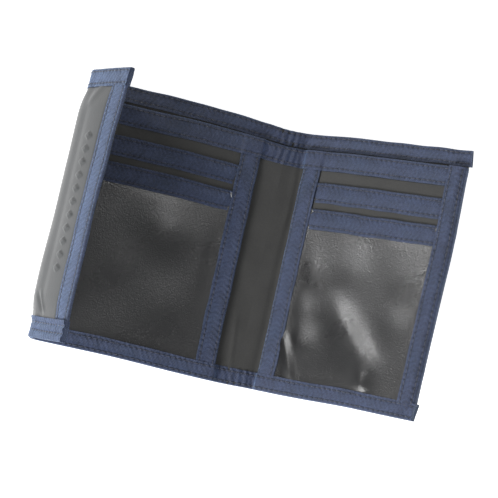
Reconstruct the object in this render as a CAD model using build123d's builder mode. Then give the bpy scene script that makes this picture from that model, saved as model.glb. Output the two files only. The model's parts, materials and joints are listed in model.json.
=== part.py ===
from build123d import *
import os
from math import cos, radians, sin

# A small trifold wallet, lying open on the underside of its left panel.
# Four hinge lines join five bodies: flap, gusset, left panel, spine and right panel.
# Lengths are millimetres and +Z is up.
# The origin is the centre of the left panel's underside.

# Driving dimensions, measured between hinge lines along the unfolded wallet
height = 115.0
left_width = 81.4
spine_width = 18.0
right_width = 78.8
gusset_width = 21.25
flap_width = 29.5

# Angles at rest
right_tilt = 40.0
flap_lift = 67.0

# Bindings and pockets, measured from the bottom edge
binding_width = 8.8
bottom_binding_top = 7.3
lower_pocket_top = 81.4
upper_pocket_top = 93.2
inner_panel_top = 107.5
slit = 0.3

# Material thicknesses
tape = 0.3
shell = 1.35
lining = 0.4
patch = 0.6

# Layers, as (low, high) heights above the outer face of a panel
pad_layer = (0.0, tape)
shell_layer = (tape, shell)
shell_binding_layer = (0.0, shell + tape)
inner_top_binding_layer = (1.8, 2.8)
divider_layer = (2.1, 2.5)
spine_side_binding_layer = (2.7, 5.0)
backing_layer = (3.0, 3.3)
upper_pocket_layer = (3.7, 4.0)
lower_pocket_layer = (4.35, 4.65)
stack_top = 5.0
spine_layers_top = 2.8
flap_lining_layer = (shell, shell + lining)
flap_binding_layer = (0.0, shell + lining + tape)
hook_layer = (shell + lining, shell + lining + patch)
loop_layer = (-patch, 0.0)

# Set-backs from the hinge lines, so that the layers clear each other when folded
shell_gap = 0.2
lining_gap = 0.3
binding_gap = 0.5
stack_gap = 1.75
fold_gap = 1.1
tape_end_overhang = 0.5
outer_binding_width = 7.7

# Hook and loop patches
patch_length = 70.0
hook_span = (5.0, 20.0)
loop_span = (55.5, 70.5)


def frame_at(x, z, angle, turned=False):
    """A panel's plane: it starts where its hinge line meets the bottom edge and rises at this angle.

    A turned frame is for a panel that runs to the left of its hinge line, along its own -X.
    """
    lean = radians(angle)
    along = (cos(lean), 0, sin(lean))
    up = (-sin(lean), 0, cos(lean))
    if turned:
        along = (-cos(lean), 0, -sin(lean))
        up = (sin(lean), 0, -cos(lean))
    corner = (x - up[0] * shell, -height / 2, z - up[2] * shell)
    return Plane(origin=corner, x_dir=along, z_dir=up)


# Hinge lines lie at the inner face of the outer shell
fold_height = shell
spine_hinge_x = left_width / 2
right_hinge_x = spine_hinge_x + spine_width
gusset_hinge_x = -left_width / 2
flap_hinge_z = fold_height + gusset_width

spine_frame = frame_at(spine_hinge_x, fold_height, 0)
right_frame = frame_at(right_hinge_x, fold_height, right_tilt)
gusset_frame = frame_at(gusset_hinge_x, fold_height, 90, turned=True)
flap_frame = frame_at(gusset_hinge_x, flap_hinge_z, flap_lift, turned=True)


def flat_piece(frame, side, along, across, layer, pad=None):
    """A flat sheet. side is -1 where the panel runs along its frame's -X.

    pad is the (along, across) patch of a shell that is thicker, down to its outer face.
    """
    with BuildPart() as piece:
        with BuildSketch(frame.offset(layer[0])):
            with Locations((side * sum(along) / 2, sum(across) / 2)):
                Rectangle(along[1] - along[0], across[1] - across[0])
        extrude(amount=layer[1] - layer[0])
        if pad:
            pad_along, pad_across = pad
            with BuildSketch(frame.offset(pad_layer[0])):
                with Locations((side * sum(pad_along) / 2, sum(pad_across) / 2)):
                    Rectangle(pad_along[1] - pad_along[0], pad_across[1] - pad_across[0])
            extrude(amount=pad_layer[1] - pad_layer[0])
    return piece.part


def folded_tape(frame, side, along, across, layer, edge):
    """A tape folded over an edge: a web on the top, bottom, near or far edge, and two legs."""
    inner_along = list(along)
    inner_across = list(across)
    if edge == "top":
        inner_across[1] -= tape
    if edge == "bottom":
        inner_across[0] += tape
    if edge == "near":
        inner_along[0] += tape
    if edge == "far":
        inner_along[1] -= tape
    with BuildPart() as piece:
        with BuildSketch(frame.offset(layer[0])):
            with Locations((side * sum(along) / 2, sum(across) / 2)):
                Rectangle(along[1] - along[0], across[1] - across[0])
        extrude(amount=layer[1] - layer[0])
        with BuildSketch(frame.offset(layer[0] + tape)):
            with Locations((side * sum(inner_along) / 2, sum(inner_across) / 2)):
                Rectangle(inner_along[1] - inner_along[0], inner_across[1] - inner_across[0])
        extrude(amount=layer[1] - layer[0] - 2 * tape, mode=Mode.SUBTRACT)
    return piece.part


pieces = {}


def pocket_stack(name, frame, side, far_edge):
    """The inner panel of one side: the bill divider and the two stepped card pockets on it."""
    far_binding = far_edge - outer_binding_width
    inside_top = inner_panel_top - tape
    stack = (stack_gap, far_binding)
    sewn = (stack_gap + tape, far_edge - tape)
    pocket = (stack_gap + binding_width, far_binding)
    side_span = (bottom_binding_top, inner_panel_top - binding_width)
    pieces[name + "_bill_divider"] = flat_piece(
        frame, side, (stack_gap, far_edge - tape), (tape, inside_top), divider_layer
    )
    pieces[name + "_pocket_backing"] = flat_piece(
        frame, side, sewn, (tape, side_span[1]), backing_layer
    )
    pieces[name + "_upper_card_pocket"] = flat_piece(
        frame, side, sewn, (tape, upper_pocket_top - tape), upper_pocket_layer
    )
    pieces[name + "_lower_card_pocket"] = flat_piece(
        frame, side, sewn, (tape, lower_pocket_top - tape), lower_pocket_layer
    )
    pieces[name + "_upper_pocket_binding"] = folded_tape(
        frame, side, pocket, (upper_pocket_top - binding_width, upper_pocket_top),
        (upper_pocket_layer[0] - tape, upper_pocket_layer[1] + tape), "top",
    )
    pieces[name + "_lower_pocket_binding"] = folded_tape(
        frame, side, pocket, (lower_pocket_top - binding_width, lower_pocket_top),
        (lower_pocket_layer[0] - tape, lower_pocket_layer[1] + tape), "top",
    )
    pieces[name + "_spine_side_binding"] = folded_tape(
        frame, side, (stack_gap, stack_gap + binding_width), side_span,
        spine_side_binding_layer, "near",
    )
    pieces[name + "_inner_top_binding"] = folded_tape(
        frame, side, stack, (inner_panel_top - binding_width, inner_panel_top),
        inner_top_binding_layer, "top",
    )


def bound_shell(name, frame, side, along, pad_along):
    """A stretch of the outer shell, whose edges are thinner where the tapes lie on them."""
    pad_across = (bottom_binding_top, inner_panel_top + slit)
    pieces[name + "_shell"] = flat_piece(
        frame, side, along, (tape, height - tape), shell_layer, (pad_along, pad_across)
    )


# Left panel, which runs left from the spine hinge to the gusset hinge
left_far = left_width - fold_gap
left_shell_span = (shell_gap, left_width - shell_gap)
bound_shell("left", spine_frame, -1, left_shell_span, left_shell_span)
pocket_stack("left", spine_frame, -1, left_far)
pieces["left_outer_side_binding"] = folded_tape(
    spine_frame, -1, (left_far - outer_binding_width, left_far),
    (bottom_binding_top, inner_panel_top), (inner_top_binding_layer[0], stack_top), "far",
)
pieces["left_bottom_binding"] = folded_tape(
    spine_frame, -1, (stack_gap, left_far), (0, bottom_binding_top), (0, stack_top), "bottom"
)
pieces["left_top_binding"] = folded_tape(
    spine_frame, -1, (binding_gap, left_far), (inner_panel_top + slit, height),
    shell_binding_layer, "top",
)

# Spine, which runs right from the spine hinge to the right panel's hinge
spine_shell_span = (shell_gap, spine_width - shell_gap)
spine_lining_span = (lining_gap, spine_width - lining_gap)
spine_binding_span = (binding_gap, spine_width - binding_gap)
bound_shell("spine", spine_frame, 1, spine_shell_span, spine_shell_span)
pieces["spine_lining"] = flat_piece(
    spine_frame, 1, spine_lining_span, (tape, inner_panel_top - tape), divider_layer
)
pieces["spine_inner_top_binding"] = folded_tape(
    spine_frame, 1, spine_lining_span, (inner_panel_top - binding_width, inner_panel_top),
    inner_top_binding_layer, "top",
)
pieces["spine_bottom_binding"] = folded_tape(
    spine_frame, 1, spine_binding_span, (0, bottom_binding_top), (0, spine_layers_top), "bottom"
)
pieces["spine_top_binding"] = folded_tape(
    spine_frame, 1, spine_binding_span, (inner_panel_top + slit, height),
    shell_binding_layer, "top",
)

# Right panel, which runs up and right from its own hinge to its free edge
right_binding_start = right_width - outer_binding_width
bound_shell(
    "right", right_frame, 1, (shell_gap, right_width - tape), (shell_gap, right_binding_start)
)
pocket_stack("right", right_frame, 1, right_width)
pieces["right_outer_side_binding"] = folded_tape(
    right_frame, 1, (right_binding_start, right_width), (bottom_binding_top, inner_panel_top),
    (0, stack_top), "far",
)
pieces["right_bottom_binding"] = folded_tape(
    right_frame, 1, (stack_gap, right_width + tape_end_overhang), (0, bottom_binding_top),
    (0, stack_top), "bottom",
)
pieces["right_top_binding"] = folded_tape(
    right_frame, 1, (binding_gap, right_width + tape_end_overhang),
    (inner_panel_top + slit, height), shell_binding_layer, "top",
)
patch_across = ((height - patch_length) / 2, (height + patch_length) / 2)
pieces["loop_patch"] = flat_piece(right_frame, 1, loop_span, patch_across, loop_layer)

# Gusset, which stands at the left panel's outer edge
gusset_shell_span = (shell_gap, gusset_width - shell_gap)
gusset_binding_span = (lining_gap, gusset_width - fold_gap)
bound_shell("gusset", gusset_frame, -1, gusset_shell_span, gusset_shell_span)
pieces["gusset_lining"] = flat_piece(
    gusset_frame, -1, gusset_binding_span, (tape, height - tape), flap_lining_layer
)
pieces["gusset_bottom_binding"] = folded_tape(
    gusset_frame, -1, gusset_binding_span, (0, bottom_binding_top), flap_binding_layer, "bottom"
)
pieces["gusset_top_binding"] = folded_tape(
    gusset_frame, -1, gusset_binding_span, (inner_panel_top + slit, height),
    flap_binding_layer, "top",
)

# Closing flap, which leans in from the gusset and has tape on its three free edges
flap_edge_start = flap_width - binding_width
flap_inner_across = (binding_width, height - binding_width)
pieces["flap_shell"] = flat_piece(
    flap_frame, -1, (shell_gap, flap_width - tape), (tape, height - tape), shell_layer,
    ((shell_gap, flap_edge_start), flap_inner_across),
)
pieces["flap_lining"] = flat_piece(
    flap_frame, -1, (fold_gap, flap_width - tape), (tape, height - tape), flap_lining_layer
)
pieces["flap_bottom_binding"] = folded_tape(
    flap_frame, -1, (fold_gap, flap_width), (0, binding_width), flap_binding_layer, "bottom"
)
pieces["flap_top_binding"] = folded_tape(
    flap_frame, -1, (fold_gap, flap_width), (height - binding_width, height),
    flap_binding_layer, "top",
)
pieces["flap_edge_binding"] = folded_tape(
    flap_frame, -1, (flap_edge_start, flap_width), flap_inner_across, flap_binding_layer, "far"
)
pieces["hook_patch"] = flat_piece(flap_frame, -1, hook_span, patch_across, hook_layer)

os.makedirs("parts", exist_ok=True)
for name, piece in pieces.items():
    piece.label = name
    export_step(piece, f"parts/{name}.step")
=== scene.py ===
import json
import math

import bmesh
import bpy
import numpy as np
from mathutils import Matrix, Vector

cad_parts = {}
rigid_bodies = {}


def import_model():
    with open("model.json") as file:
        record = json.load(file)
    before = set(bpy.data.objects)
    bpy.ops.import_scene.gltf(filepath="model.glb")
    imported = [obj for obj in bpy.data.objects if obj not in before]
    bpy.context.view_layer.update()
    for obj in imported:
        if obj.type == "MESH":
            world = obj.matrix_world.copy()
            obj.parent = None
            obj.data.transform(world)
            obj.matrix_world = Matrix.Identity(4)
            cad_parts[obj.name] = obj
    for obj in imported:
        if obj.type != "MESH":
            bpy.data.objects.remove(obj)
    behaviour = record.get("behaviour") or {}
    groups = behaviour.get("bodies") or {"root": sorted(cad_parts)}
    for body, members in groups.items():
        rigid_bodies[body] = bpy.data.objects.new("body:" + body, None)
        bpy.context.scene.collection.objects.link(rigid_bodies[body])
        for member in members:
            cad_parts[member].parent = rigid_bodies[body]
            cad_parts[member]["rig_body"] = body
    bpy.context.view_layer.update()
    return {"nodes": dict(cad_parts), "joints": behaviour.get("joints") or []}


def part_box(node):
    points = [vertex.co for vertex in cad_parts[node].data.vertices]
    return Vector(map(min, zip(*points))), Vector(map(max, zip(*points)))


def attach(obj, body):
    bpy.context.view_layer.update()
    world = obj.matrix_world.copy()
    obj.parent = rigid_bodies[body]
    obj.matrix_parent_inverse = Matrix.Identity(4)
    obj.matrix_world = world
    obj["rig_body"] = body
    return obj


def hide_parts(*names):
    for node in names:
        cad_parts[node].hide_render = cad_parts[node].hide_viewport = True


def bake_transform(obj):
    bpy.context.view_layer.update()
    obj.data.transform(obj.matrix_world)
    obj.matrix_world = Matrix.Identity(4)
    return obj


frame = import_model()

# Lengths in this script are millimetres until a mesh is made, which is in metres.
MM = 0.001
joints = {joint["name"]: joint for joint in frame["joints"]}


def hinge_point(name):
    return np.array(joints[name]["pos_m"], float) / MM


# Sizes of the wallet, from the frame. The last two run from a hinge line to a free edge.
SHELL = hinge_point("spine_fold")[2]
HEIGHT = (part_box("left_top_binding")[1].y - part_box("left_bottom_binding")[0].y) / MM
LEFT_WIDTH = hinge_point("spine_fold")[0] - hinge_point("gusset_fold")[0]
SPINE_WIDTH = hinge_point("right_fold")[0] - hinge_point("spine_fold")[0]
GUSSET_WIDTH = hinge_point("flap_fold")[2] - hinge_point("gusset_fold")[2]
RIGHT_WIDTH = 78.8
FLAP_WIDTH = 29.5

# How far the right panel and the flap are bent at rest, in degrees
RIGHT_TILT = -joints["right_fold"]["range_deg"][0]
FLAP_BEND = -joints["flap_fold"]["range_deg"][0]

# Tapes and stitches
TAPE = 0.38
TOP_TAPE = 6.9
INNER_TAPE = 8.6
BOTTOM_TAPE = 7.3
STITCH_PITCH = 2.5
STITCH_INSET = 1.35
NO_SEAM = 99.0

# Distances between neighbouring points of a mesh
TAPE_STEP = 0.6
OUTLINE_STEP = 0.65
FINE_STEP = 0.7
SHEET_STEP = 1.2

FULL_TURN = 2 * math.pi


def smooth(x):
    """0 below 0, 1 above 1, and a smooth step between."""
    x = np.clip(x, 0.0, 1.0)
    return x * x * (3 - 2 * x)


def bump(x, centre, reach):
    """A bell of height 1 at centre, about as wide as reach each way."""
    return np.exp(-(((x - centre) / reach) ** 2))


def between(x, low, high, fade):
    """1 from low to high, fading to 0 over fade outside them."""
    return smooth((x - low) / fade + 1) * smooth((high - x) / fade + 1)


def waves(x, y, seed, length):
    """Gentle, repeatable undulation from about -1 to 1."""
    rng = np.random.default_rng(seed)
    total = np.zeros(np.broadcast(x, y).shape)
    for _ in range(5):
        angle, phase = rng.uniform(0, FULL_TURN, 2)
        pitch = length * rng.uniform(0.7, 1.6)
        forward = x * math.cos(angle) + y * math.sin(angle)
        total = total + np.sin(FULL_TURN * forward / pitch + phase)
    return total / 3


def crease(x, y, start, end, reach, height, lee=1.0):
    """A soft ridge from start to end. lee widens its right hand side."""
    start, end = np.array(start, float), np.array(end, float)
    length = np.linalg.norm(end - start)
    along = (end - start) / length
    dx, dy = x - start[0], y - start[1]
    forward = (dx * along[0] + dy * along[1]) / length
    side = dy * along[0] - dx * along[1]
    ends = smooth(forward * 2 + 0.4) * smooth((1 - forward) * 2 + 0.4)
    reach = np.where(side < 0, reach * lee, reach)
    return height * ends * np.exp(-((side / reach) ** 2))


# How far each panel strays from flat: (along, up the panel, away from its outer face)
def left_warp(u, y):
    middle = np.sin(np.pi * np.clip(u / LEFT_WIDTH, 0, 1))
    top = y / HEIGHT
    up = top * (0.6 * middle**2 - 0.1 * bump(u, 0, 9))
    up = up + 0.55 * smooth((top - 0.85) / 0.15) * smooth(u / 14)
    up = up - (1 - top) ** 2 * (0.45 + 0.75 * bump(u, 0, 26))
    return 0 * u, up, 0.5 * middle * (0.4 + top)


def spine_warp(u, y):
    middle = np.sin(np.pi * np.clip(u / SPINE_WIDTH, 0, 1))
    top = y / HEIGHT
    high = smooth((top - 0.8) * 5)
    up = -0.1 * top - 0.5 * high * middle - (1 - top) ** 2 * (1.2 - 0.4 * smooth(u / SPINE_WIDTH))
    return 0 * u, up, 0 * u


def right_warp(u, y):
    share = np.clip(u / RIGHT_WIDTH, 0, 1)
    top = y / HEIGHT
    along = share**2 * (0.7 * bump(y, 78, 26) - 0.9 * bump(y, 0, 36) - 0.9)
    along = along - share**6 * (0.9 * smooth((8 - y) / 8) + 0.8 * smooth((y - 108) / 7))
    up = top**3 * (0.95 * smooth(share * 3) - 0.1 * (1 - smooth(share * 4)))
    up = up - (1 - top) ** 2 * 0.8 * (1 - smooth(share * 1.6))
    return along, up, -0.9 * np.sin(np.pi * share) * (0.4 + 0.6 * top)


def gusset_warp(u, y):
    share = np.clip(u / GUSSET_WIDTH, 0, 1)
    inside = between(y, 18, HEIGHT - 18, 14)
    return 0 * u, 0 * u, -(1.5 + 0.6 * bump(y, 25, 25)) * np.sin(0.72 * np.pi * share) * inside


def flap_warp(u, y):
    share = np.clip(u / FLAP_WIDTH, 0, 1.1)
    top = y / HEIGHT
    inside = between(y, 18, HEIGHT - 18, 14)
    bow = -(1.5 + 0.6 * bump(y, 25, 25)) * np.sin(np.pi * (0.72 + 0.28 * share)) * inside
    bow = bow - 1.0 * np.sin(np.pi * share) * smooth(share * 3) * (0.4 + 0.6 * inside)
    splay = share**1.3 * (2.6 * np.clip((top - 0.4) / 0.6, 0, 1) ** 1.6 - 0.5)
    return 0 * u, 0 * u, bow + splay


def draw_in(points):
    """The bound ends of the gusset lean in a little, as the stiff tapes pull them."""
    x, y, z = points[..., 0], points[..., 1] + HEIGHT / 2, points[..., 2]
    ends = (1 - between(y, 14, HEIGHT - 14, 9)) * np.where(y < HEIGHT / 2, 0.6, 1.3)
    points[..., 0] = x + ends * smooth((-x - 30) / 8) * smooth((25 - z) / 9)
    return points


class Fold:
    """Two neighbouring panels and the hinge line between them, bent by bend degrees at rest.

    s runs across the hinge line, below 0 on the parent. y runs up from the bottom edge.
    n runs in from the outer face.
    """

    def __init__(self, name, along, up, bend, parent_warp, parent_width, child_warp, reach=3.5):
        joint = joints[name]
        self.reach = reach
        self.parent, self.child = joint["parent"], joint["child"]
        self.hinge = hinge_point(name)
        self.along, self.up = np.array(along, float), np.array(up, float)
        self.bend = math.radians(bend)
        self.parent_warp, self.parent_width = parent_warp, parent_width
        self.child_warp = child_warp

    def place(self, s, y, n):
        """The points of the rest pose at s, y and n."""
        s, y, n = np.broadcast_arrays(*(np.asarray(value, float) for value in (s, y, n)))
        turn = self.bend * smooth((s + self.reach) / (2 * self.reach))
        parent_u = -s if self.parent_width is None else self.parent_width + s
        before = self.parent_warp(parent_u, y)
        after = self.child_warp(s, y)
        ds, dy, dn = [np.where(s < 0, b, a) for b, a in zip(before, after)]
        sign = np.where(s < 0, -1.0 if self.parent_width is None else 1.0, 1.0)
        s, y, n = s + sign * ds, y + dy, n + dn - SHELL
        cos, sin = np.cos(turn)[..., None], np.sin(turn)[..., None]
        along = cos * self.along + sin * self.up
        up = cos * self.up - sin * self.along
        points = self.hinge + s[..., None] * along + n[..., None] * up
        points[..., 1] = y - HEIGHT / 2
        return draw_in(points)

    def directions(self, on_child):
        """Away from the hinge line and in from the outer face, on the child or the parent."""
        turn = self.bend if on_child else 0.0
        return (math.cos(turn) * self.along + math.sin(turn) * self.up,
                math.cos(turn) * self.up - math.sin(turn) * self.along)

    def flat_box(self, node):
        """A CAD node's low and high (s, y, n), in the child's plane, or the parent's for its nodes."""
        mesh = frame["nodes"][node].data
        points = np.array([v.co for v in mesh.vertices], float).reshape(-1, 3) / MM - self.hinge
        along, up = self.directions(frame["nodes"][node]["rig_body"] == self.child)
        local = np.stack(
            [points @ along, points[:, 1] + HEIGHT / 2, points @ up + SHELL], axis=1
        )
        return local.min(axis=0), local.max(axis=0)

    def attach(self, piece):
        """Bakes the piece's placement into its mesh. It rides on neither body; its soft bend over this
        hinge line is only in its rest shape.
        """
        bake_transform(piece)


SPINE = Fold("spine_fold", (1, 0, 0), (0, 0, 1), 0, left_warp, None, spine_warp)
RIGHT = Fold(
    "right_fold", (1, 0, 0), (0, 0, 1), RIGHT_TILT, spine_warp, SPINE_WIDTH, right_warp
)
GUSSET = Fold("gusset_fold", (-1, 0, 0), (0, 0, 1), 90, left_warp, LEFT_WIDTH, gusset_warp)
FLAP = Fold(
    "flap_fold", (0, 0, 1), (1, 0, 0), FLAP_BEND, gusset_warp, GUSSET_WIDTH, flap_warp, reach=6.0
)


# ---- Materials ----
def scaled(colour, share):
    return tuple(share * part for part in colour)


def new_material(name):
    made = bpy.data.materials.new(name)
    made.use_nodes = True
    tree = made.node_tree
    return made, tree, tree.nodes["Principled BSDF"]


def set_values(node, values):
    for name, value in values.items():
        node.inputs[name].default_value = value


def math_node(tree, operation, first, second=None, third=None):
    """A Math node. Its inputs are numbers or sockets. Returns its output socket."""
    made = tree.nodes.new("ShaderNodeMath")
    made.operation = operation
    for socket, value in zip(made.inputs, (first, second, third)):
        if value is None:
            continue
        if isinstance(value, (int, float)):
            socket.default_value = value
        else:
            tree.links.new(value, socket)
    return made.outputs[0]


def times(tree, signal, weight):
    return math_node(tree, "MULTIPLY", signal, weight)


def add_nodes(tree, *signals):
    """The sum of any number of sockets."""
    total = signals[0]
    for signal in signals[1:]:
        total = math_node(tree, "ADD", total, signal)
    return total


def wave_node(tree, place, pitch):
    return math_node(tree, "SINE", times(tree, place, FULL_TURN / pitch))


def noise_node(tree, vector, scale, detail=3.0, roughness=0.5):
    made = tree.nodes.new("ShaderNodeTexNoise")
    set_values(made, {"Scale": scale, "Detail": detail, "Roughness": roughness})
    tree.links.new(vector, made.inputs["Vector"])
    return made.outputs["Fac"]


def ramp_node(tree, value, stops):
    made = tree.nodes.new("ShaderNodeValToRGB")
    ramp = made.color_ramp
    while len(ramp.elements) < len(stops):
        ramp.elements.new(0.5)
    for element, (place, colour) in zip(ramp.elements, stops):
        element.position = place
        element.color = (*colour, 1)
    tree.links.new(value, made.inputs["Fac"])
    return made.outputs["Color"]


def range_node(tree, value, low, high):
    made = tree.nodes.new("ShaderNodeMapRange")
    set_values(made, {"To Min": low, "To Max": high})
    tree.links.new(value, made.inputs["Value"])
    return made.outputs["Result"]


def mix_colour(tree, factor, first, second):
    """A Mix node for two colours. They and the factor are values or sockets."""
    made = tree.nodes.new("ShaderNodeMix")
    made.data_type = "RGBA"
    factor_socket, first_socket, second_socket = made.inputs[0], made.inputs[6], made.inputs[7]
    for socket, value in ((factor_socket, factor), (first_socket, first), (second_socket, second)):
        if isinstance(value, (int, float)):
            socket.default_value = value
        elif isinstance(value, tuple):
            socket.default_value = (*value, 1)
        else:
            tree.links.new(value, socket)
    return made.outputs[2]


def bump_node(tree, height, distance):
    made = tree.nodes.new("ShaderNodeBump")
    set_values(made, {"Distance": distance, "Strength": 1.0})
    tree.links.new(height, made.inputs["Height"])
    return made.outputs["Normal"]


def link_looks(tree, shader, colour, height, depth):
    """Wires a material's colour, and its relief, which is depth millimetres deep."""
    tree.links.new(colour, shader.inputs["Base Color"])
    tree.links.new(bump_node(tree, height, depth * MM), shader.inputs["Normal"])


def cloth_coordinates(tree):
    """The piece's own cloth coordinates in millimetres: along, across, distance to a seam."""
    made = tree.nodes.new("ShaderNodeAttribute")
    made.attribute_name = "weave"
    split = tree.nodes.new("ShaderNodeSeparateXYZ")
    tree.links.new(made.outputs["Vector"], split.inputs[0])
    return made.outputs["Vector"], split.outputs["X"], split.outputs["Y"], split.outputs["Z"]


def stitch_hole(tree, along, seam):
    """0 in the middle of each pricked hole of a seam, and 1 away from it."""
    hole_radius = 0.8
    step = math_node(tree, "MODULO", math_node(tree, "ADD", along, 1000.0), STITCH_PITCH)
    to_hole = math_node(tree, "SUBTRACT", step, STITCH_PITCH / 2)
    along_squared = math_node(tree, "POWER", to_hole, 2.0)
    seam_squared = math_node(tree, "POWER", seam, 2.0)
    far = math_node(tree, "SQRT", math_node(tree, "ADD", along_squared, seam_squared))
    return math_node(tree, "SMOOTH_MIN", math_node(tree, "DIVIDE", far, hole_radius), 1.0, 0.3)


def tape_material(name, light, dark):
    """Nylon tape: herringbone ribs, a fine weave, and a pricked hole at each stitch, with painted shade
    darkening its colour.
    """
    made, tree, shader = new_material(name)
    vector, along, across, seam = cloth_coordinates(tree)
    herringbone_middle = 4.4
    to_middle = math_node(tree, "SUBTRACT", across, herringbone_middle)
    from_middle = math_node(tree, "ABSOLUTE", to_middle)
    wander = times(tree, noise_node(tree, vector, 0.35), 4.0)
    rib_phase = add_nodes(tree, times(tree, along, FULL_TURN / 2.2),
                          times(tree, from_middle, FULL_TURN / 3.4), wander)
    fine_phase = add_nodes(tree, times(tree, along, FULL_TURN / 0.74),
                           times(tree, from_middle, FULL_TURN / 0.9))
    worn = range_node(tree, noise_node(tree, vector, 0.5), -0.2, 1.5)
    ribs = times(tree, math_node(tree, "SINE", rib_phase), worn)
    twill = math_node(tree, "SINE", fine_phase)
    weft = wave_node(tree, across, 0.5)
    fibres = math_node(tree, "SUBTRACT", noise_node(tree, vector, 1.5, 4.0, 0.7), 0.5)
    patches = math_node(tree, "SUBTRACT", noise_node(tree, vector, 0.22, 2.0), 0.5)
    hole = stitch_hole(tree, along, seam)
    height = add_nodes(tree, times(tree, ribs, 0.33), times(tree, twill, 0.28),
                       times(tree, weft, 0.18), fibres, times(tree, hole, 1.2))
    mixed = add_nodes(tree, times(tree, ribs, 0.16), times(tree, twill, 0.16),
                      times(tree, fibres, 2.6), times(tree, patches, 0.9), 0.5)
    colour = ramp_node(tree, mixed, [(0.0, dark), (1.0, light)])
    teal = tuple(part * share for part, share in zip(light, (0.62, 0.92, 0.86)))
    tint = range_node(tree, noise_node(tree, vector, 0.06, 1.0), -0.6, 1.2)
    colour = mix_colour(tree, times(tree, tint, 0.25), colour, teal)
    # Painted shade: the colour darkens towards black in the middle of each stitch hole
    shaded = times(tree, math_node(tree, "SUBTRACT", 1.0, hole), 0.9)
    colour = mix_colour(tree, shaded, colour, scaled(dark, 0.25))
    link_looks(tree, shader, colour, height, 0.17)
    set_values(shader, {"Roughness": 0.6, "Specular IOR Level": 0.4, "Sheen Weight": 0.5,
                        "Sheen Roughness": 0.45, "Sheen Tint": (0.45, 0.65, 1.0, 1)})
    return made


def thread_material(name, colour):
    """Twisted sewing thread."""
    made, tree, shader = new_material(name)
    _, along, across, _ = cloth_coordinates(tree)
    phase = add_nodes(tree, times(tree, along, 14.0), times(tree, across, 20.0))
    twist = math_node(tree, "SINE", phase)
    shade = mix_colour(tree, range_node(tree, twist, 0.2, 0.8), scaled(colour, 0.75), colour)
    link_looks(tree, shader, shade, twist, 0.05)
    set_values(shader, {"Roughness": 0.45, "Sheen Weight": 0.3})
    return made


def leather_material(name, base, pale, roughness, coat, grain_size, grain_depth):
    """Coated leather: pebbled grain, fine pores, and gloss that varies with handling."""
    made, tree, shader = new_material(name)
    vector, _, _, _ = cloth_coordinates(tree)
    grain = noise_node(tree, vector, 1 / grain_size, 2.0, 0.6)
    pores = noise_node(tree, vector, 3.4, 4.0, 0.65)
    clouds = noise_node(tree, vector, 0.05, 3.0)
    colour = mix_colour(tree, range_node(tree, clouds, 0.0, 1.0), base, pale)
    colour = mix_colour(tree, range_node(tree, pores, 0.0, 0.35), colour, scaled(base, 0.5))
    gloss = add_nodes(tree, range_node(tree, clouds, -0.10, 0.10), roughness,
                      range_node(tree, pores, -0.05, 0.05))
    tree.links.new(gloss, shader.inputs["Roughness"])
    height = add_nodes(tree, grain, times(tree, pores, 0.2))
    link_looks(tree, shader, colour, height, grain_depth)
    set_values(shader, {"Coat Weight": coat, "Coat Roughness": 0.4})
    return made


def lining_material(name, light, dark):
    """Matte lining cloth in a fine plain weave."""
    made, tree, shader = new_material(name)
    vector, along, across, _ = cloth_coordinates(tree)
    weave = times(tree, wave_node(tree, along, 0.45), wave_node(tree, across, 0.5))
    slubs = noise_node(tree, vector, 1.1, 4.0, 0.6)
    clouds = noise_node(tree, vector, 0.07, 2.0)
    mixed = add_nodes(tree, range_node(tree, slubs, 0.15, 0.55), range_node(tree, clouds, -0.2, 0.4))
    colour = ramp_node(tree, mixed, [(0.15, dark), (0.85, light)])
    link_looks(tree, shader, colour, add_nodes(tree, times(tree, weave, 0.4), slubs), 0.07)
    set_values(shader, {"Roughness": 0.72, "Specular IOR Level": 0.4, "Sheen Weight": 0.15})
    return made


def pile_material(name, colour):
    """A short matte pile, as on hook and loop tape."""
    made, tree, shader = new_material(name)
    vector, _, _, _ = cloth_coordinates(tree)
    tufts = noise_node(tree, vector, 2.2, 5.0, 0.8)
    shade = mix_colour(tree, tufts, scaled(colour, 0.5), scaled(colour, 1.8))
    link_looks(tree, shader, shade, tufts, 0.4)
    set_values(shader, {"Roughness": 0.9, "Sheen Weight": 0.4})
    return made


tape_blue = tape_material("tape_blue", (0.052, 0.071, 0.150), (0.0102, 0.0142, 0.033))
thread_blue = thread_material("thread_blue", (0.034, 0.042, 0.078))
thread_white = thread_material("thread_white", (0.75, 0.76, 0.78))
outer_leather = leather_material(
    "outer_leather", (0.029, 0.032, 0.034), (0.045, 0.048, 0.050),
    roughness=0.37, coat=0.10, grain_size=0.7, grain_depth=0.07,
)
pocket_leather = leather_material(
    "pocket_leather", (0.011, 0.011, 0.012), (0.019, 0.019, 0.019),
    roughness=0.30, coat=0.0, grain_size=0.62, grain_depth=0.11,
)
lining_cloth = lining_material("lining_cloth", (0.054, 0.053, 0.050), (0.022, 0.022, 0.021))
hook_and_loop = pile_material("hook_and_loop", (0.018, 0.018, 0.020))
# A near-black sheet: painted shade for the dark slit at the banknote compartment's mouth
painted_shade_cloth = pile_material("painted_shade_cloth", (0.0025, 0.0025, 0.0028))


# ---- Meshes ----
SIX_SIDED_CAP = np.array([[0, 1, 2, 3], [0, 3, 4, 5]])


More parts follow.
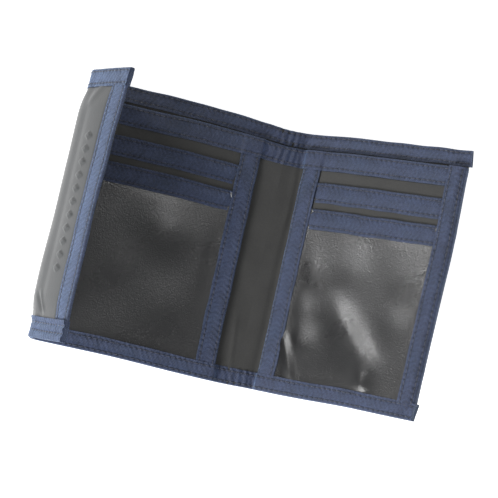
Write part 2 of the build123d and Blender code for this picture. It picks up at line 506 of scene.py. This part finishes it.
class Cloth:
    """Collects the vertices, faces and cloth coordinates of one piece."""

    def __init__(self):
        self.points, self.weave, self.faces, self.face_material = [], [], [], []
        self.count = 0

    def add(self, points, weave, faces, material=0):
        self.points.append(points.reshape(-1, 3))
        self.weave.append(weave.reshape(-1, 3))
        self.faces.append(faces + self.count)
        self.face_material.append(np.full(len(faces), material))
        self.count += points.size // 3

    def finish(self, name, materials):
        """Makes the piece's mesh and object."""
        mesh = bpy.data.meshes.new(name)
        points = np.concatenate(self.points) * MM
        faces = np.concatenate(self.faces)
        mesh.from_pydata(points.tolist(), [], faces.tolist())
        weave = mesh.attributes.new("weave", "FLOAT_VECTOR", "POINT")
        weave.data.foreach_set("vector", np.concatenate(self.weave).astype(np.float32).ravel())
        for material in materials:
            mesh.materials.append(material)
        mesh.polygons.foreach_set("material_index", np.concatenate(self.face_material).astype(np.int32))
        work = bmesh.new()
        work.from_mesh(mesh)
        bmesh.ops.recalc_face_normals(work, faces=work.faces)
        work.to_mesh(mesh)
        work.free()
        mesh.shade_smooth()
        mesh.set_sharp_from_angle(angle=math.radians(55))
        piece = bpy.data.objects.new(name, mesh)
        bpy.context.scene.collection.objects.link(piece)
        return piece


def flat(height):
    """A level surface for one side of a sheet."""
    return lambda s, y: height + 0 * s


def grid_faces(rows, columns, close_columns=False):
    """Quads between neighbouring points of a grid whose points are numbered row by row."""
    row = np.arange(rows - 1)[:, None]
    last = columns if close_columns else columns - 1
    column = np.arange(last)
    after = (column + 1) % columns
    quads = [row * columns + column, row * columns + after,
             (row + 1) * columns + after, (row + 1) * columns + column]
    return np.stack([q.ravel() for q in np.broadcast_arrays(*quads)], axis=1)


def steps(low, high, step):
    return np.linspace(low, high, max(2, int(round(abs(high - low) / step)) + 1))


def add_sheet(cloth, place, s_span, y_span, top, bottom, step=SHEET_STEP, material=0):
    """A closed sheet between the surfaces top(s, y) and bottom(s, y)."""
    s, y = np.meshgrid(steps(*s_span, step), steps(*y_span, step), indexing="ij")
    rows, columns = s.shape
    upper = place(s, y, top(s, y))
    lower = place(s, y, bottom(s, y))
    faces = grid_faces(rows, columns)
    size = rows * columns
    number = np.arange(size).reshape(rows, columns)
    rim = np.concatenate([number[:-1, 0], number[-1, :-1], number[:0:-1, -1], number[0, :0:-1]])
    following = np.roll(rim, -1)
    sides = np.stack([rim, following, following + size, rim + size], axis=1)
    weave = np.stack([s, y, np.full_like(s, NO_SEAM)], axis=-1)
    cloth.add(
        np.stack([upper, lower]), np.stack([weave, weave]),
        np.concatenate([faces, faces[:, ::-1] + size, sides]), material,
    )


def tape_outline(width, depth):
    """The outer outline of a folded tape's section, from the front leg's free edge to the back leg's.

    Each row is: distance in from the folded edge, share of the depth (1 at the front),
    rise from there, the inward direction (two numbers), and the distance walked.
    """
    corner = min(0.7, 0.48 * depth)
    rows = []
    for c in steps(width, corner, OUTLINE_STEP):
        rows.append((c, 1, 0, 0, -1))
    for share, way, angles in ((1, -1, (30, 60, 90)), (0, 1, (90, 60, 30))):
        for angle in angles:
            lean = math.radians(angle)
            rise = way * corner * (1 - math.cos(lean))
            rows.append((corner - corner * math.sin(lean), share, rise,
                         math.sin(lean), way * math.cos(lean)))
    for c in steps(corner, width, OUTLINE_STEP):
        rows.append((c, 0, 0, 0, 1))
    rows = np.array(rows, float)
    flat = np.stack([rows[:, 0], rows[:, 1] * depth + rows[:, 2]], axis=1)
    walked = np.concatenate([[0], np.cumsum(np.linalg.norm(np.diff(flat, axis=0), axis=1))])
    return np.column_stack([rows, walked])


def level(value):
    """A height that is a number or a function of the place along, as a function."""
    return value if callable(value) else (lambda along: np.full(np.shape(along), float(value)))


def tape_waves(along, walked, seed):
    """The soft unevenness of a tape's faces."""
    return 0.10 * waves(along, walked, seed, 16) + 0.05 * waves(along, walked, seed + 7, 5)


def nearest_row(distance, rows):
    return np.min([np.abs(distance - row) for row in rows], axis=0)


def add_tape(cloth, place, span, edge, inward, front, back, width,
             ripple=None, edge_wave=None, back_stitches=False, seed=1,
             droop=(0.0, 0.0), filled=(), back_rows=None, pucker=0.0):
    """A tape folded over an edge, with its rows of stitches.

    place(along, across, n) gives points. edge is the folded edge's place across, and the legs
    run from it in the direction inward. front and back are the heights of the outer faces.
    droop is how far the two legs close towards each other at the folded edge, and filled
    names the ends (0 or 1) where the tape is turned in. back_rows places the stitches of the
    back leg, and pucker is how deep they pull it in.
    """
    front, back = level(front), level(back)
    wander = edge_wave or level(0.0)
    rows = (STITCH_INSET, width - STITCH_INSET)
    back_rows = back_rows or rows

    def edge_line(along):
        """The folded edge's place across, which strays a little from straight."""
        return edge + wander(along) + 0.12 * waves(along, 0 * along, seed + 3, 22)

    a = steps(*span, TAPE_STEP)
    a_grid = a[:, None]
    middle = np.array([0.5 * (span[0] + span[1])])
    depth = float(front(middle)[0] - back(middle)[0]) - sum(droop)
    outline = tape_outline(width, depth)
    c_in, share, rise, in_c, in_n, walked = outline.T
    on_front = share * (rise == 0)
    on_back = (1 - share) * (rise == 0)
    back_seam = nearest_row(c_in, back_rows)
    seam = np.where(on_back > 0, back_seam if back_stitches else NO_SEAM, nearest_row(walked, rows))

    # The stitches pull the faces in, most at each hole
    beat = 0.5 + 0.5 * np.cos(FULL_TURN * (a_grid - STITCH_PITCH / 2) / STITCH_PITCH)
    pull = np.exp(-((seam / 0.75) ** 2)) * (0.05 + 0.11 * beat)
    edge_drop = 0.10 * np.exp(-((walked / 0.5) ** 2))
    extra = ripple(a_grid, walked) if ripple else 0.0
    extra = extra + pucker * on_back * np.exp(-((back_seam / 0.8) ** 2))
    away = np.where(share > 0.5, 1.0, -1.0)
    soft = tape_waves(a_grid, walked, seed)
    lift = away * (soft - pull - edge_drop * on_front) + extra

    # The two walls of the tape
    inset = np.clip(c_in / width, 0, 1)
    roll = (1 - inset) ** 2
    n_low, n_high = back(a)[:, None] + droop[1] * roll, front(a)[:, None] - droop[0] * roll
    n = n_low + share * (n_high - n_low) + rise + lift
    free_line = 0.12 * waves(a_grid, 0 * a_grid + 5, seed + 4, 18) * inset
    across = edge_line(a_grid) + inward * (c_in + free_line)
    outer = place(a_grid + 0 * n, across, n)
    inner = place(a_grid + 0 * n, across + inward * in_c * TAPE, n + in_n * TAPE)
    ring = np.concatenate([outer, inner[:, ::-1]], axis=1)
    weave = np.stack(np.broadcast_arrays(a_grid, walked, seam), axis=-1)
    ring_weave = np.concatenate([weave, weave[:, ::-1]], axis=1)
    count = len(outline)
    faces = grid_faces(len(a), 2 * count, close_columns=True)
    k = np.arange(count - 1)
    cap = np.stack([k, k + 1, 2 * count - 2 - k, 2 * count - 1 - k], axis=1)
    last = (len(a) - 1) * 2 * count
    cloth.add(ring, ring_weave, np.concatenate([faces, cap[:, ::-1], cap + last]))
    middle_wall = 0.5 * (outer + inner)
    for end in filled:
        first, second, deep = (0, 1, 5) if end == 0 else (-1, -2, -6)
        mouth = 0.8 * middle_wall[first] + 0.2 * middle_wall[second]
        add_plug(cloth, mouth, middle_wall[deep], weave[first])

    def surface(along, distance, c, is_back):
        """The height of a leg's outer face, without the pull of the stitches."""
        closing = (1 - c / width) ** 2
        wave = tape_waves(along, distance, seed)
        more = (ripple(along, distance) if ripple else 0.0) + pucker * is_back
        if is_back:
            return back(along) + droop[1] * closing - wave + more
        return front(along) - droop[0] * closing + wave + more

    legs = [(False, rows)] + ([(True, back_rows)] if back_stitches else [])
    for is_back, offsets in legs:
        for offset in offsets:
            c = offset if is_back else width - offset
            distance = walked[-1] - (width - c) if is_back else width - c

            def line(along, c=c):
                return edge_line(along) + inward * c

            def height(along, distance=distance, c=c, is_back=is_back):
                return surface(along, distance, c, is_back)

            add_stitches(cloth, place, span, line, height, -1.0 if is_back else 1.0)


def add_plug(cloth, mouth, behind, weave):
    """The turned-in end of a tape: a short closed block between its legs."""
    count = len(mouth)
    k = np.arange(count // 2)
    pairs = np.stack([k, k + 1, count - 2 - k, count - 1 - k], axis=1)[:-1]
    faces = np.concatenate([grid_faces(2, count, close_columns=True), pairs[:, ::-1], pairs + count])
    cloth.add(np.stack([mouth, behind]), np.stack([weave, weave]), faces)


def add_stitches(cloth, place, span, line, height, outward):
    """A row of short stitches, each a small thread that arches out of one hole into the next."""
    end_gap = 1.3
    first = math.ceil((span[0] + end_gap) / STITCH_PITCH) * STITCH_PITCH
    centres = np.arange(first, span[1] - end_gap, STITCH_PITCH)
    if len(centres) == 0:
        return
    reach, radius, sides = 1.0, 0.19, 6
    share = np.linspace(-1, 1, 5)
    arch = 0.10 * (1 - share**2) - 0.10 * np.abs(share) ** 3
    thick = radius * np.sqrt(np.clip(1.02 - share**2 * 0.85, 0.05, 1))
    round_angle = np.linspace(0, FULL_TURN, sides, endpoint=False)
    along = (centres[:, None, None] + reach * share[:, None]) + np.zeros((1, 1, sides))
    across = line(along) + thick[:, None] * np.cos(round_angle)
    rise = arch[:, None] + 0.8 * thick[:, None] * np.sin(round_angle)
    points = place(along, across, height(along) + outward * rise)
    weave = np.stack([along, np.broadcast_to(round_angle / 6, along.shape), 0 * along], axis=-1)
    body = grid_faces(len(share), sides, close_columns=True)
    one = np.concatenate([body, SIX_SIDED_CAP[:, ::-1], SIX_SIDED_CAP + (len(share) - 1) * sides])
    size = len(share) * sides
    faces = (one + np.arange(len(centres))[:, None, None] * size).reshape(-1, 4)
    cloth.add(points, weave, faces, 1)


def upright(fold):
    """Points of a piece that runs along the fold lines."""
    return lambda along, across, n: fold.place(across, along, n)


def place_on(piece, fold, body, nodes):
    """Rides the piece on its body, or bakes it in place across the fold, and hides the CAD it stands
    for.
    """
    if body is None:
        fold.attach(piece)
    else:
        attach(piece, body)
    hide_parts(*nodes)


TAPES = [tape_blue, thread_blue]


def make_tape(name, fold, body, *shape, nodes=None, **options):
    """One tape as a piece. shape and options are what add_tape takes after the cloth."""
    cloth = Cloth()
    add_tape(cloth, *shape, **options)
    place_on(cloth.finish(name, TAPES), fold, body, nodes or [name])


# ---- Camera, lights and floor ----
scene = bpy.context.scene


def make_camera():
    """Looks down at the wallet from its lower left."""
    elevation, azimuth, roll = math.radians(78.95), math.radians(-58.88), math.radians(71.9)
    aim = Vector((43.5, 1.4, 0.0)) * MM
    distance = 724.6 * MM
    back = Vector((math.sin(azimuth) * math.cos(elevation),
                   -math.cos(azimuth) * math.cos(elevation), math.sin(elevation)))
    right = Vector((0, 0, 1)).cross(back).normalized()
    up = back.cross(right)
    turned_right = right * math.cos(roll) + up * math.sin(roll)
    turned_up = back.cross(turned_right)
    data = bpy.data.cameras.new("camera")
    data.lens, data.sensor_width = 119.3, 36.0
    data.clip_start, data.clip_end = 0.01, 50.0
    camera = bpy.data.objects.new("camera", data)
    turn = Matrix((turned_right, turned_up, back)).transposed()
    camera.matrix_world = Matrix.Translation(aim + back * distance) @ turn.to_4x4()
    scene.collection.objects.link(camera)
    scene.camera = camera


def make_light(name, place, aim, size, power, only_glints=False):
    data = bpy.data.lights.new(name, "AREA")
    data.shape, data.size, data.energy = "DISK", size, power
    light = bpy.data.objects.new(name, data)
    light.location = place
    light.rotation_mode = "QUATERNION"
    light.rotation_quaternion = (Vector(aim) - Vector(place)).to_track_quat("-Z", "Y")
    light.visible_diffuse = not only_glints
    scene.collection.objects.link(light)


def make_floor():
    """A plain pale floor, just below what the wallet's lowest stitches reach."""
    data = bpy.data.meshes.new("floor")
    half, depth = 12.0, -0.00045
    data.from_pydata([(-half, -half, depth), (half, -half, depth), (half, half, depth),
                      (-half, half, depth)], [], [(0, 1, 2, 3)])
    made, _, shader = new_material("floor")
    set_values(shader, {"Base Color": (0.93, 0.93, 0.93, 1), "Roughness": 0.9,
                        "Emission Color": (1, 1, 1, 1), "Emission Strength": 0.75})
    data.materials.append(made)
    floor = bpy.data.objects.new("floor", data)
    scene.collection.objects.link(floor)


def make_world(colour, strength):
    world = bpy.data.worlds.new("studio")
    world.use_nodes = True
    set_values(world.node_tree.nodes["Background"], {"Color": (*colour, 1), "Strength": strength})
    scene.world = world


make_camera()
make_world((0.97, 0.985, 1.0), 0.50)
make_light("key", (-0.41, -0.54, 0.34), (0, 0, 0), 0.32, 6.6)
make_light("left", (-0.88, 0.41, 0.60), (0.085, 0, 0.02), 0.17, 9.0, only_glints=True)
make_light("top", (0.14, 0.48, 1.15), (-0.02, 0, 0), 0.32, 3.5, only_glints=True)
make_floor()
scene.view_settings.view_transform = "Standard"


# ---- Outer shell ----
def lozenges(s, y):
    """How far a plain row of raised lozenges stands out of the flap's leather."""
    count, pitch, across = 11, 5.6, 13.2
    half_width, half_height, rise = 3.9, 2.2, 0.75
    total = np.zeros_like(s)
    for k in range(count):
        centre = HEIGHT / 2 + (k - count // 2) * pitch
        diamond = np.abs(s - across) / half_width + np.abs(y - centre) / half_height
        total = total + rise * (1 - smooth((diamond - 0.5) / 0.4))
    return total


def make_shell():
    """The leather outside, in four stretches that meet between the fold lines."""
    outside = 0.15
    inside = SHELL - 0.05
    right_end = RIGHT.flat_box("right_shell")[1][0]
    half_spine, half_left, half_gusset = SPINE_WIDTH / 2, LEFT_WIDTH / 2, GUSSET_WIDTH / 2
    y_span = (0.45, HEIGHT - 0.45)
    mouth = (HEIGHT - 12, y_span[1])
    stretches = [
        ("shell_right", RIGHT, (-half_spine, right_end), ["right_shell"]),
        ("shell_spine", SPINE, (-half_left, half_spine), ["spine_shell"]),
        ("shell_left", GUSSET, (-half_left, half_gusset), ["left_shell", "gusset_shell"]),
    ]
    for name, fold, s_span, nodes in stretches:
        cloth = Cloth()
        add_sheet(cloth, fold.place, s_span, y_span, flat(inside), flat(outside))
        # A near-black sheet inside the banknote compartment, in view at its mouth: painted shade that
        # darkens the slit there
        add_sheet(cloth, fold.place, s_span, mouth, flat(inside + 0.12), flat(inside), material=1)
        place_on(cloth.finish(name, [outer_leather, painted_shade_cloth]), fold, None, nodes)

    def flap_outer(s, y):
        wrinkle = crease(s, y, (1, 19), (8, 10), 1.3, 0.5)
        wrinkle = wrinkle - crease(s, y, (3.5, 19), (9.5, 11), 1.2, 0.5)
        wrinkle = wrinkle - crease(s, y, (4, 98), (15, 110), 2.4, 0.4)
        under_tape = smooth((s - 19.5) / 1.5)
        relief = wrinkle - lozenges(s, y) + 0.15 * waves(s, y, 21, 30)
        return outside + relief * (1 - under_tape) + 0.25 * under_tape

    s_span = (-half_gusset, FLAP.flat_box("flap_shell")[1][0])
    cloth = Cloth()
    add_sheet(cloth, FLAP.place, s_span, y_span, flat(inside), flap_outer, step=0.45)
    place_on(cloth.finish("shell_flap", [outer_leather]), FLAP, None, ["flap_shell"])


# ---- Linings ----
def across_spine(fold, s):
    """How far past the spine's left hinge line a point is."""
    return s if fold is SPINE else s + SPINE_WIDTH


def make_linings():
    """The cloth behind the pockets and across the spine, and inside the gusset and flap."""
    low, high = RIGHT.flat_box("right_bill_divider")
    left_low, _ = SPINE.flat_box("left_bill_divider")
    half_spine = SPINE_WIDTH / 2

    def raised(fold):
        def top(s, y):
            inside = across_spine(fold, s)
            soft = crease(inside, y, (3.4, 30), (5.6, 6), 0.8, 0.4)
            soft = soft + crease(inside, y, (15.5, 100), (17, 70), 1.6, 0.35)
            soft = soft + 0.16 * waves(inside, y, 31, 24) * between(inside, 3, 15, 3)
            return high[2] + soft * between(inside, 2, 16, 2)
        return top

    for name, fold, s_span, nodes in (
        ("lining_right", RIGHT, (-half_spine, high[0]), ["right_bill_divider"]),
        ("lining_left", SPINE, (left_low[0], half_spine), ["left_bill_divider", "spine_lining"]),
    ):
        cloth = Cloth()
        top = raised(fold)
        add_sheet(cloth, fold.place, s_span, (low[1], high[1] - 5.0), top,
                  lambda s, y, t=top: t(s, y) - 0.4, step=0.9)
        place_on(cloth.finish(name, [lining_cloth]), fold, None, nodes)

    flap_low, flap_high = FLAP.flat_box("flap_lining")
    y_span = (flap_low[1], flap_high[1])
    for name, fold, s_span, node in (
        ("lining_gusset", GUSSET, (-1.0, GUSSET_WIDTH / 2), "gusset_lining"),
        ("lining_flap", FLAP, (-GUSSET_WIDTH / 2, flap_high[0]), "flap_lining"),
    ):
        cloth = Cloth()
        add_sheet(cloth, fold.place, s_span, y_span, flat(flap_high[2]), flat(SHELL))
        place_on(cloth.finish(name, [lining_cloth]), fold, None, [node])


# ---- Pockets ----
def dome(u, y, centre, reach, height):
    """A soft rounded swelling."""
    far = ((u - centre[0]) / reach[0]) ** 2 + ((y - centre[1]) / reach[1]) ** 2
    return height * np.exp(-far)


def right_pocket_relief(u, y):
    """The creases and swellings of the right pocket's face."""
    relief = crease(u, y, (30.5, 42.5), (56, 15), 5.6, 1.45, lee=2.2)
    for centre, reach, height in (
        ((52.5, 11), (3.4, 5.5), 0.9),
        ((21, 23), (9, 8), 1.1),
        ((14.5, 38), (6, 6), 0.45),
        ((16, 54), (8, 8), 0.4),
        ((37, 57), (8, 8), 0.38),
        ((62, 58), (11, 12), 0.35),
        ((62, 37), (8, 8), 0.45),
    ):
        relief = relief + dome(u, y, centre, reach, height)
    return relief + 0.10 * waves(u, y, 41, 26)


def right_pocket_fold(u, y):
    """A short sharp fold that comes out from under the tape up the spine side."""
    return crease(u, y, (10.6, 25), (18.8, 7.0), 2.5, 1.15)


def left_pocket_relief(u, y):
    """The left pocket's face is smoother, with a swelling below its mouth."""
    relief = dome(u, y, (35, 57), (11, 11), 1.4) + dome(u, y, (19, 46), (8, 12), 0.5)
    return relief + dome(u, y, (30, 24), (15, 14), 0.5) + 0.12 * waves(u, y, 43, 30)


class PocketSide:
    """One pocket panel. u is the distance from the spine's hinge line on its side."""

    def __init__(self, side, fold, sign, relief):
        self.side, self.fold, self.sign, self.relief = side, fold, sign, relief
        self.body = side + "_panel"
        self.strip_u, self.strip_y, self.strip_n = self.spans("_spine_side_binding")
        self.outer_u, self.outer_y, self.outer_n = self.spans("_outer_side_binding")
        self.open_low, self.open_high = self.strip_u[1], self.outer_u[0]

    def spans(self, part):
        low, high = self.fold.flat_box(self.side + part)
        u = sorted((self.sign * low[0], self.sign * high[0]))
        return u, (low[1], high[1]), (low[2], high[2])

    def s_span(self, low, high):
        return tuple(sorted((self.sign * low, self.sign * high)))

    def bulge(self, u):
        """1 in the middle between the side tapes and 0 at them."""
        share = np.clip((u - self.open_low) / (self.open_high - self.open_low), 0, 1)
        return np.sin(np.pi * share)

    def inside(self, u, y, top):
        """1 in the middle of a pocket face, fading to 0 where it is sewn down."""
        return (smooth((u - self.open_low) / 8) * smooth((self.open_high - u) / 4)
                * smooth((y - 6) / 4) * smooth((top - y) / 7 + 0.4))

    def make_sheets(self):
        """The pockets' backing and the two stepped pockets in front of it."""
        inner_top = self.spans("_inner_top_binding")[1][1]
        for part, slot, material, gape in (
            ("_pocket_backing", "lining_cloth", lining_cloth, 0.0),
            ("_upper_card_pocket", "lining_cloth", lining_cloth, 0.15),
            ("_lower_card_pocket", "pocket_leather", pocket_leather, 0.25),
        ):
            u, y, n = self.spans(part)
            s_span = self.s_span(u[0], min(u[1], self.open_high + 3.0))
            y_span = (y[0], min(y[1], inner_top - 2.5))
            is_face = part == "_lower_card_pocket"

            def top(s, yy, height=n[1], mouth=y_span[1] - 8, is_face=is_face, gape=gape):
                uu = self.sign * s
                rise = gape * self.bulge(uu) * smooth((yy - 20) / 50)
                if is_face:
                    rise = rise + self.relief(uu, yy) * self.inside(uu, yy, mouth)
                if is_face and self.side == "right":
                    rise = rise + right_pocket_fold(uu, yy)
                return height + rise

            cloth = Cloth()
            add_sheet(cloth, self.fold.place, s_span, y_span, top,
                      lambda s, yy, t=top: t(s, yy) - 0.3,
                      step=FINE_STEP if is_face else SHEET_STEP)
            piece = cloth.finish(self.side + part, [material])
            place_on(piece, self.fold, self.body, [self.side + part])

    def make_mouth_tapes(self):
        """The tapes over the two pocket mouths, which run under the side tapes."""
        tuck = 2.0
        jobs = (("_upper_pocket_binding", 0.15, 50), ("_lower_pocket_binding", 0.25, 51))
        for part, gape, seed in jobs:
            u, y, n = self.spans(part)

            def face(s, high=n[1] + 0.05, gape=gape):
                uu = self.sign * s
                near_end = smooth((uu - self.open_low) / 2) * smooth((self.open_high - uu) / 2)
                return high + gape * self.bulge(uu) - 0.35 * (1 - near_end)

            def back(s, face=face, depth=n[1] - n[0]):
                return face(s) - depth

            make_tape(self.side + part, self.fold, self.body,
                      self.fold.place, self.s_span(u[0] - tuck, u[1] + tuck), y[1], -1,
                      face, back, y[1] - y[0], seed=seed + 10 * (self.sign > 0))

    def make_spine_side_tape(self):
        """The tape up the spine side, which dips under the inner panel's top tape."""
        (u_low, u_high), (y_low, y_high) = self.strip_u, self.strip_y
        n_low, n_high = self.strip_n
        make_tape(self.side + "_spine_side_binding", self.fold, self.body,
                  upright(self.fold), (y_low - 3, y_high + 3), self.sign * u_low, self.sign,
                  lambda y: n_high - 0.75 * smooth((y - 88) / 8) + 0.1, n_low - 0.1, u_high - u_low,
                  seed=60 + (self.sign > 0),
                  edge_wave=lambda y: -self.sign * 0.35 * smooth((20 - y) / 14))

    def make_outer_side_tape(self):
        """The tape up the outer side, which closes the pockets and the shell together."""
        is_right = self.side == "right"
        (u_low, u_high), (y_low, y_high) = self.outer_u, self.outer_y
        n_low, n_high = self.outer_n
        make_tape(self.side + "_outer_side_binding", self.fold, self.body,
                  upright(self.fold), (y_low - 3, y_high - 0.2), self.sign * u_high,
                  -self.sign, n_high + 0.25, n_low, u_high - u_low,
                  back_stitches=is_right, seed=64 + is_right,
                  droop=(1.7, 0.3) if is_right else (0.6, 0.0), filled=(1,),
                  ripple=lambda y, walked: 0.25 * bump(walked, 4.9, 0.6) * (walked < 7.5))


# ---- Tapes that run across the folds ----
def spine_share(fold, s):
    """1 over the spine and 0 over the pocket panels."""
    inside = across_spine(fold, s)
    return smooth((inside + 1.6) / 2.6) * smooth((SPINE_WIDTH + 1.6 - inside) / 2.6)


def pleats(fold, depth, seed):
    """Gathers where a tape crosses the spine."""
    def ripple(s, t):
        inside = across_spine(fold, s)
        window = between(inside, 5.5, 13.0, 3.0) * (t < 7.6)
        fold_wave = np.sin(FULL_TURN * (inside - 0.12 * t) / 3.1 + seed)
        return window * depth * (np.abs(fold_wave) ** 0.7 * np.sign(fold_wave))
    return ripple


def make_long_tapes(strip_right, strip_left):
    """The shell's top tape, the inner panel's top tape and the bottom tape, in two lengths each."""
    half = SPINE_WIDTH / 2
    top_high = RIGHT.flat_box("right_top_binding")[1]
    left_top_low, _ = SPINE.flat_box("left_top_binding")
    bottom_low, bottom_high = RIGHT.flat_box("right_bottom_binding")
    left_bottom_low, _ = SPINE.flat_box("left_bottom_binding")
    inner_low, inner_high = RIGHT.flat_box("right_inner_top_binding")
    left_inner_low, _ = SPINE.flat_box("left_inner_top_binding")
    spine_inner_high = SPINE.flat_box("spine_inner_top_binding")[1]
    spine_bottom_high = SPINE.flat_box("spine_bottom_binding")[1]

    def strip_share(fold, s):
        """1 where a tape passes over the end of the tape up the spine side."""
        strip = strip_right if fold is RIGHT else strip_left
        u = s if fold is RIGHT else -s
        return smooth((u - strip[0] + 1.2) / 1.4) * smooth((strip[1] + 0.8 - u) / 1.4)

    def inner_face(fold):
        base = inner_high[2] + 0.95
        return lambda s: (base + 0.85 * strip_share(fold, s)
                          - (base - spine_inner_high[2] - 0.15) * spine_share(fold, s)
                          + 0.35 * (fold is RIGHT) * bump(s, 42, 22)
                          - 0.6 * (fold is RIGHT) * smooth((s - 70) / 4))

    def inner_back(fold):
        return lambda s: inner_low[2] + 0.05 + 0.35 * (fold is RIGHT) * bump(s, 42, 22)

    def inner_edge(fold):
        """The inner panel's top edge sags away from the shell, most towards the flap."""
        return lambda s: -0.15 - 0.5 * smooth((-s - 8) / 50) * (fold is SPINE)

    def bottom_face(fold):
        base = bottom_high[2] + 0.2
        return lambda s: (base + 0.25 * strip_share(fold, s)
                          - 1.0 * (fold is RIGHT) * smooth((s - 72) / 6)
                          - (base - spine_bottom_high[2] - 0.1) * spine_share(fold, s))

    def bottom_back(fold):
        return lambda s: 0.3 * (fold is RIGHT) * smooth((s - 72) / 6) + 0 * s

    for fold, side in ((RIGHT, "right"), (SPINE, "left")):
        is_right = fold is RIGHT
        top_span = (-half, top_high[0] + 0.6) if is_right else (left_top_low[0], half)
        inner_span = (-half, inner_high[0] + 2.0) if is_right else (left_inner_low[0] - 2.0, half)
        bottom_span = (-half, bottom_high[0] + 0.4) if is_right else (left_bottom_low[0], half)
        filled = (1,) if is_right else (0,)
        jobs = (
            ("top", top_span, top_high[1], -1, TOP_TAPE, SHELL + 0.35, 0.0,
             None, pleats(fold, 0.30, 0.4), True, filled, 70),
            ("inner_top", inner_span, inner_high[1], -1, INNER_TAPE, inner_face(fold),
             inner_back(fold), inner_edge(fold), pleats(fold, 0.34, 2.0), False, (), 72),
            ("bottom", bottom_span, bottom_low[1], 1, BOTTOM_TAPE, bottom_face(fold),
             bottom_back(fold), None, pleats(fold, 0.22, 1.1), True, filled, 74),
        )
        for part, span, edge, inward, width, face, back, wave, ripple, both, ends, seed in jobs:
            nodes = [f"{side}_{part}_binding"] + ([] if is_right else [f"spine_{part}_binding"])
            make_tape(f"{part}_binding_{side}", fold, None,
                      fold.place, span, edge, inward, face, back, width, nodes=nodes,
                      ripple=ripple, edge_wave=wave, back_stitches=both, seed=seed, filled=ends)


# ---- Gusset and flap tapes ----
def make_flap_tapes():
    """The tapes at both ends of the gusset and the flap, and along the flap's free edge."""
    high = GUSSET.flat_box("gusset_top_binding")[1]
    for part, edge, inward, width in (("top", HEIGHT, -1, 7.2), ("bottom", 0.0, 1, BOTTOM_TAPE)):
        make_tape(f"gusset_{part}_binding", GUSSET, None,
                  GUSSET.place, (-0.8, high[0] - 5.5), edge, inward, high[2], 0.0, width,
                  back_stitches=True, seed=80)

    high = FLAP.flat_box("flap_top_binding")[1]
    edge_low, edge_high = FLAP.flat_box("flap_edge_binding")
    make_tape("flap_edge_binding", FLAP, "flap",
              upright(FLAP), (edge_low[1] - 3, edge_high[1] + 3), edge_high[0], -1,
              high[2] - 0.1, -0.1, edge_high[0] - edge_low[0], back_stitches=True,
              seed=84, droop=(0.3, 0.35))
    for part, edge, inward, rows in (("top", HEIGHT, -1, None), ("bottom", 0.0, 1, (3.3, 6.5))):
        is_top = part == "top"
        make_tape(f"flap_{part}_binding", FLAP, None,
                  FLAP.place, (-FLAP.reach - 0.6, high[0]), edge, inward, high[2] + 0.1,
                  -0.3 if is_top else -0.85, 7.9 if is_top else 8.8, back_stitches=True, seed=88,
                  filled=(0, 1), back_rows=rows, pucker=0.0 if is_top else 0.8)


def make_patches():
    """The closure's loop patch (pile outward) and hook patch (pile inward)."""
    sunk = 0.2

    def rough(s, y):
        return 0.06 * waves(s, y, 90, 2.2)

    for name, fold, body, pile_on_top in (("loop_patch", RIGHT, "right_panel", False),
                                          ("hook_patch", FLAP, "flap", True)):
        low, high = fold.flat_box(name)

        def top(s, y, height=high[2], pile=pile_on_top):
            return height + (rough(s, y) if pile else sunk + 0 * s)

        def bottom(s, y, height=low[2], pile=pile_on_top):
            return height + (0 * s - sunk if pile else rough(s, y))

        cloth = Cloth()
        add_sheet(cloth, fold.place, (low[0], high[0]), (low[1], high[1]), top, bottom, step=FINE_STEP)
        piece = cloth.finish(name, [hook_and_loop])
        place_on(piece, fold, body, [name])


def make_thread_end(strip):
    """A loose white thread end where the lower pocket tape meets the left side tape."""
    path = np.linspace(0, 1, 9)
    y = 80.6 - 1.6 * path + 0.4 * np.sin(5 * path)
    s = -(strip[1] + 0.9) + 0.9 * path**2
    n = 5.3 + 0.7 * np.sin(np.pi * path)
    around = np.linspace(0, FULL_TURN, 6, endpoint=False)
    radius = 0.17
    points = SPINE.place(s[:, None] + radius * np.cos(around), y[:, None] + 0 * around,
                         n[:, None] + radius * np.sin(around))
    weave = np.stack(np.broadcast_arrays(path[:, None] * 3, around, 0.0), axis=-1)
    cloth = Cloth()
    last = (len(path) - 1) * len(around)
    faces = np.concatenate([grid_faces(len(path), len(around), close_columns=True),
                            SIX_SIDED_CAP[:, ::-1], SIX_SIDED_CAP + last])
    cloth.add(points, weave, faces)
    piece = cloth.finish("thread_end", [thread_white])
    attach(piece, "left_panel")


make_shell()
make_linings()
left_pockets = PocketSide("left", SPINE, -1, left_pocket_relief)
right_pockets = PocketSide("right", RIGHT, 1, right_pocket_relief)
for pockets in (left_pockets, right_pockets):
    pockets.make_sheets()
    pockets.make_mouth_tapes()
    pockets.make_spine_side_tape()
    pockets.make_outer_side_tape()
make_long_tapes(right_pockets.strip_u, left_pockets.strip_u)
make_flap_tapes()
make_patches()
make_thread_end(left_pockets.strip_u)
